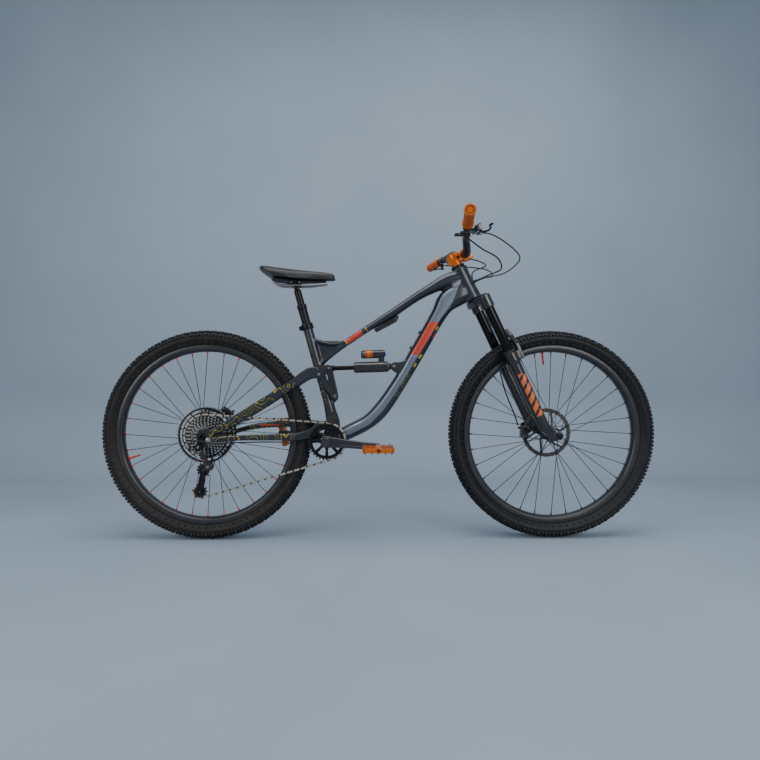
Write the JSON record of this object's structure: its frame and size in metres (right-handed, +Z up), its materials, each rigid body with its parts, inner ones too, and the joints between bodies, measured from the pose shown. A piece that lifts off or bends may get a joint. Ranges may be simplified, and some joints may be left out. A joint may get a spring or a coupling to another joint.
{
  "type": "mountain bike",
  "caption": "Full-suspension trail bike with four-bar rear linkage, air shock, single-crown fork, disc brakes, dropper seatpost, flat bar and one-ring drivetrain.",
  "frame": {"origin": "on the ground, midway between the two axles, in the plane of the wheels", "axes": "+X forward, +Y to the rider's left, +Z up"},
  "size_m": [1.97, 0.7918, 1.0683],
  "materials": {
    "frame_paint": "satin metallic slate with a lilac-grey side and a near-black underside",
    "black_alloy": "satin black anodised",
    "orange_anodised": "satin orange anodised",
    "orange_rubber": "matte moulded rubber",
    "steel": "brushed",
    "stanchion": "polished black",
    "shaft_steel": "polished",
    "lever_metal": "satin",
    "blue_lever": "anodised",
    "chain_gold": "polished plated",
    "tyre_rubber": "matte",
    "black_plastic": "moulded",
    "saddle_cover": "smooth synthetic cover",
    "hose": "extruded jacket"
  },
  "bodies": {
    "frame": {"front_frame": "frame_paint", "seat_clamp": "black_alloy", "bearing_cups": "black_alloy", "seatpost_outer": "black_alloy", "chain_guide": "black_plastic", "linkage_bolts": "steel", "frame_fittings": "black_plastic"},
    "steering": {"fork_crown": "black_alloy", "fork_uppers": "stanchion", "stem": "orange_anodised", "stem_faceplate": "orange_anodised", "headset_spacers": "orange_anodised", "handlebar": "black_alloy", "grips": "orange_rubber", "brake_masters": "black_alloy", "remote_clamps": "black_plastic", "front_hose": "hose", "cockpit_hoses": "hose"},
    "brake_lever_r": {"brake_lever_right": "lever_metal"},
    "brake_lever_l": {"brake_lever_left": "lever_metal"},
    "shifter_lever": {"shifter_paddle": "lever_metal"},
    "dropper_lever": {"dropper_paddle": "lever_metal"},
    "lowers": {"fork_lowers": "black_alloy", "front_axle": "steel", "front_caliper": "black_alloy"},
    "front_wheel": {"front_hub": "black_alloy", "front_spokes": "steel", "front_rim": "black_alloy", "front_tyre": "tyre_rubber", "front_rotor": "steel"},
    "rear_wheel": {"rear_hub": "black_alloy", "rear_spokes": "steel", "rear_rim": "black_alloy", "rear_tyre": "tyre_rubber", "rear_rotor": "steel"},
    "cassette_body": {"cassette": "steel"},
    "chainstays": {"chainstay": "frame_paint", "chain": "chain_gold"},
    "seatstays": {"seatstay": "frame_paint", "rear_axle": "steel", "rear_caliper": "black_alloy", "derailleur_hanger": "black_alloy", "rear_hoses": "hose"},
    "rocker": {"rocker_link": "black_alloy"},
    "shock_body": {"shock_can": "black_alloy"},
    "shock_rod": {"shock_shaft": "shaft_steel"},
    "shock_switch": {"shock_lever": "blue_lever"},
    "crank": {"crankset": "black_alloy", "chainring": "black_alloy"},
    "pedal_r": {"pedal_right": "orange_anodised"},
    "pedal_l": {"pedal_left": "orange_anodised"},
    "mech_link": {"derailleur_link": "black_alloy"},
    "mech_body": {"derailleur_body": "black_alloy"},
    "mech_cage": {"derailleur_cage": "black_alloy"},
    "guide_wheel": {"guide_pulley": "black_plastic"},
    "tension_wheel": {"tension_pulley": "black_plastic"},
    "saddle": {"seatpost_inner": "black_alloy", "saddle_rails": "steel", "saddle_shell": "black_plastic", "saddle_pad": "saddle_cover"}
  },
  "joints": [
    {"name": "steering", "type": "hinge", "parent": "frame", "child": "steering", "pos_m": [0.56878, 0, 0.34845], "axis": [-0.4226, 0, 0.9063], "range_deg": [-70, 70], "deforming": ["cockpit_hoses"]},
    {"name": "fork_travel", "type": "slide", "parent": "steering", "child": "lowers", "axis": [-0.4226, 0, 0.9063], "range_m": [0, 0.15], "stiffness_N_per_m": 6000, "deforming": ["front_hose"]},
    {"name": "front_wheel_spin", "type": "hinge", "parent": "lowers", "child": "front_wheel", "pos_m": [0.615, 0, 0.37], "axis": [0, 1, 0], "continuous": true},
    {"name": "rear_suspension", "type": "hinge", "parent": "frame", "child": "chainstays", "pos_m": [-0.182, 0, 0.404], "axis": [0, 1, 0], "range_deg": [0, 20], "stiffness_Nm_per_rad": 1200, "deforming": ["chain", "rear_hoses"]},
    {"name": "stay_pivot", "type": "hinge", "parent": "chainstays", "child": "seatstays", "pos_m": [-0.59, 0, 0.358], "axis": [0, 1, 0], "range_deg": [-2.5, 0], "deforming": ["chain", "rear_hoses"]},
    {"name": "rocker_turn", "type": "hinge", "parent": "frame", "child": "rocker", "pos_m": [-0.162, 0, 0.506], "axis": [0, 1, 0], "range_deg": [0, 38.5]},
    {"name": "shock_tilt", "type": "hinge", "parent": "frame", "child": "shock_body", "pos_m": [0.047, 0, 0.612], "axis": [0, 1, 0], "range_deg": [-2.5, 0]},
    {"name": "shock_stroke", "type": "slide", "parent": "shock_body", "child": "shock_rod", "axis": [0.9995, 0, 0.0304], "range_m": [0, 0.066]},
    {"name": "shock_switch_turn", "type": "hinge", "parent": "shock_body", "child": "shock_switch", "pos_m": [0.01551, 0, 0.65706], "axis": [0.9995, 0, 0.0304], "range_deg": [0, 70]},
    {"name": "rear_wheel_spin", "type": "hinge", "parent": "seatstays", "child": "rear_wheel", "pos_m": [-0.615, 0, 0.37], "axis": [0, 1, 0], "continuous": true},
    {"name": "cassette_spin", "type": "hinge", "parent": "seatstays", "child": "cassette_body", "pos_m": [-0.615, 0, 0.37], "axis": [0, 1, 0], "continuous": true},
    {"name": "crank_spin", "type": "hinge", "parent": "frame", "child": "crank", "pos_m": [-0.189, 0, 0.349], "axis": [0, 1, 0], "continuous": true},
    {"name": "pedal_spin_right", "type": "hinge", "parent": "crank", "child": "pedal_r", "pos_m": [-0.01481, 0, 0.33223], "axis": [0, 1, 0], "continuous": true},
    {"name": "pedal_spin_left", "type": "hinge", "parent": "crank", "child": "pedal_l", "pos_m": [-0.36319, 0, 0.36577], "axis": [0, 1, 0], "continuous": true},
    {"name": "derailleur_shift", "type": "hinge", "parent": "seatstays", "child": "mech_link", "pos_m": [-0.622, -0.096, 0.335], "axis": [0.9432, 0, 0.3321], "range_deg": [-24, 3], "deforming": ["chain", "rear_hoses"]},
    {"name": "derailleur_level", "type": "hinge", "parent": "mech_link", "child": "mech_body", "pos_m": [-0.597, -0.06142, 0.264], "axis": [0.9432, 0, 0.3321], "range_deg": [-4, 24]},
    {"name": "cage_swing", "type": "hinge", "parent": "mech_body", "child": "mech_cage", "pos_m": [-0.597, 0, 0.264], "axis": [0, 1, 0], "range_deg": [-30, 6], "deforming": ["chain"]},
    {"name": "guide_spin", "type": "hinge", "parent": "mech_cage", "child": "guide_wheel", "pos_m": [-0.62, 0, 0.249], "axis": [0, 1, 0], "continuous": true},
    {"name": "tension_spin", "type": "hinge", "parent": "mech_cage", "child": "tension_wheel", "pos_m": [-0.633, 0, 0.173], "axis": [0, 1, 0], "continuous": true},
    {"name": "dropper_height", "type": "slide", "parent": "frame", "child": "saddle", "axis": [-0.2664, 0, 0.9639], "range_m": [-0.045, 0.1]},
    {"name": "brake_pull_left", "type": "hinge", "parent": "steering", "child": "brake_lever_l", "pos_m": [0.30659, 0.23225, 1.03308], "axis": [0, 0, 1], "range_deg": [0, 18], "stiffness_Nm_per_rad": 0.6},
    {"name": "brake_pull_right", "type": "hinge", "parent": "steering", "child": "brake_lever_r", "pos_m": [0.30659, -0.23225, 1.03308], "axis": [0, 0, -1], "range_deg": [0, 18], "stiffness_Nm_per_rad": 0.6},
    {"name": "shifter_push", "type": "hinge", "parent": "steering", "child": "shifter_lever", "pos_m": [0.26349, -0.24399, 1.01756], "axis": [0, 0, -1], "range_deg": [0, 22], "stiffness_Nm_per_rad": 0.3},
    {"name": "dropper_push", "type": "hinge", "parent": "steering", "child": "dropper_lever", "pos_m": [0.26349, 0.24399, 1.01756], "axis": [0, 0, 1], "range_deg": [0, 22], "stiffness_Nm_per_rad": 0.3}
  ],
  "couplings": [
    {"joint": "stay_pivot", "follows": "rear_suspension", "ratio": -0.112},
    {"joint": "rocker_turn", "follows": "rear_suspension", "ratio": 1.915},
    {"joint": "shock_tilt", "follows": "rear_suspension", "ratio": -0.112},
    {"joint": "shock_stroke", "follows": "rear_suspension", "m_per_rad": 0.187},
    {"joint": "cassette_spin", "follows": "crank_spin", "ratio": 0.88889},
    {"joint": "derailleur_level", "follows": "derailleur_shift", "ratio": -1}
  ]
}
